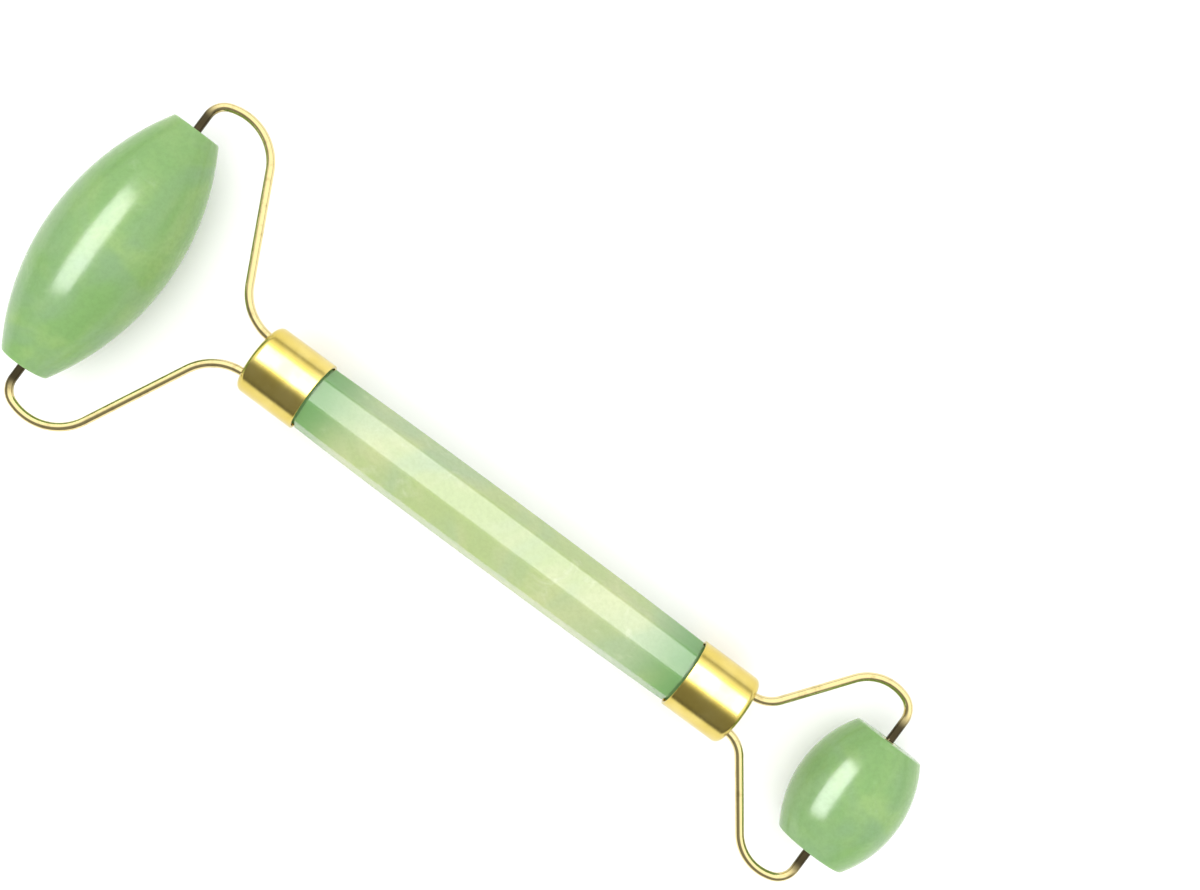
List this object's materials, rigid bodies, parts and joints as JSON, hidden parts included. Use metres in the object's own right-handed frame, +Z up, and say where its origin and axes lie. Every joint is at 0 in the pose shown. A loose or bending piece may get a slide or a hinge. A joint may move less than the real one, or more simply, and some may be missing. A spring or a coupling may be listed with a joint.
{
  "type": "face roller",
  "caption": "Double-ended facial massage roller: an octagonal jade handle in brass ferrules, with a large and a small barrel stone turning in bent wire forks.",
  "frame": {"origin": "middle of the overall box in X and Y, on the surface under the two roller stones", "axes": "+X along the handle towards the small roller, +Y along the roller axles, +Z up; the handle slopes down by half a degree towards the small roller"},
  "size_m": [0.1496, 0.0546, 0.0187],
  "materials": {
    "roller_jade": "polished, cloudy mid-green, slightly translucent",
    "handle_jade": "polished, pale yellow-green, slightly translucent",
    "brushed_brass": "satin",
    "polished_brass": "polished",
    "epoxy": "set epoxy, out of sight"
  },
  "bodies": {
    "frame": {"handle_stone": "handle_jade", "large_ferrule": "brushed_brass", "small_ferrule": "brushed_brass", "large_ferrule_epoxy": "epoxy", "small_ferrule_epoxy": "epoxy", "large_fork_left_arm": "polished_brass", "large_fork_right_arm": "polished_brass", "small_fork_left_arm": "polished_brass", "small_fork_right_arm": "polished_brass"},
    "large_roller": {"large_roller_stone": "roller_jade", "large_roller_left_sleeve": "polished_brass", "large_roller_right_sleeve": "polished_brass"},
    "small_roller": {"small_roller_stone": "roller_jade", "small_roller_left_sleeve": "polished_brass", "small_roller_right_sleeve": "polished_brass"}
  },
  "joints": [
    {"name": "large_roller_spin", "type": "hinge", "parent": "frame", "child": "large_roller", "pos_m": [-0.06545, 0, 0.00935], "axis": [0, 1, 0], "continuous": true},
    {"name": "small_roller_spin", "type": "hinge", "parent": "frame", "child": "small_roller", "pos_m": [0.06655, 0, 0.00825], "axis": [0, 1, 0], "continuous": true}
  ]
}
